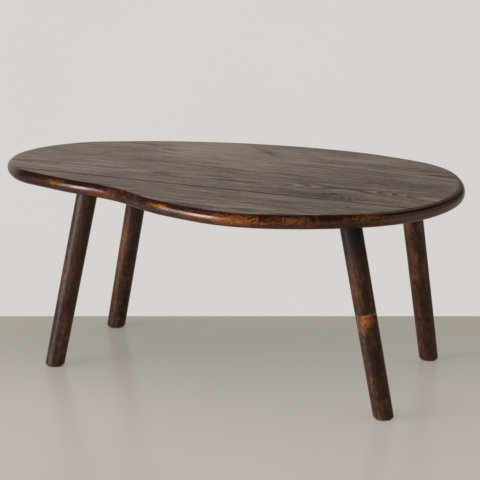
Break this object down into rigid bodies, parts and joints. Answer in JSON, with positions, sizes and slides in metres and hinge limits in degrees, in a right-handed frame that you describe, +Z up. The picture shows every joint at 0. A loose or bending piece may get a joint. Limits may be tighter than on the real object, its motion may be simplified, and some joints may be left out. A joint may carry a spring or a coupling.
{
  "type": "low table",
  "caption": "Low coffee table with a kidney-shaped wooden top, a rounded edge and round splayed legs screwed to plates under the top.",
  "frame": {"origin": "on the floor, under the middle of the top's bounding box", "axes": "+Z up, +X along the boards towards the wide end, -Y towards the front, where the edge is hollow"},
  "size_m": [0.9803, 0.6508, 0.407],
  "materials": {
    "top_wood": "dark brown stain under a satin lacquer, glossy on the rounded edge",
    "leg_wood": "dark brown stain under a glossy lacquer, with amber wood showing in places",
    "plate_steel": "zinc plated pressed steel",
    "screw_steel": "zinc plated",
    "bolt_steel": "zinc plated",
    "pad_felt": "dark pressed felt"
  },
  "bodies": {
    "root": {"top_board_front": "top_wood", "top_board_front_middle": "top_wood", "top_board_back_middle": "top_wood", "top_board_back": "top_wood", "leg_front_left": "leg_wood", "leg_back_left": "leg_wood", "leg_front_right": "leg_wood", "leg_back_right": "leg_wood", "leg_plate_front_left": "plate_steel", "leg_plate_back_left": "plate_steel", "leg_plate_front_right": "plate_steel", "leg_plate_back_right": "plate_steel", "plate_screws_front_left": "screw_steel", "plate_screws_back_left": "screw_steel", "plate_screws_front_right": "screw_steel", "plate_screws_back_right": "screw_steel", "hanger_bolt_front_left": "bolt_steel", "hanger_bolt_back_left": "bolt_steel", "hanger_bolt_front_right": "bolt_steel", "hanger_bolt_back_right": "bolt_steel", "felt_pad_front_left": "pad_felt", "felt_pad_back_left": "pad_felt", "felt_pad_front_right": "pad_felt", "felt_pad_back_right": "pad_felt"}
  },
  "joints": []
}
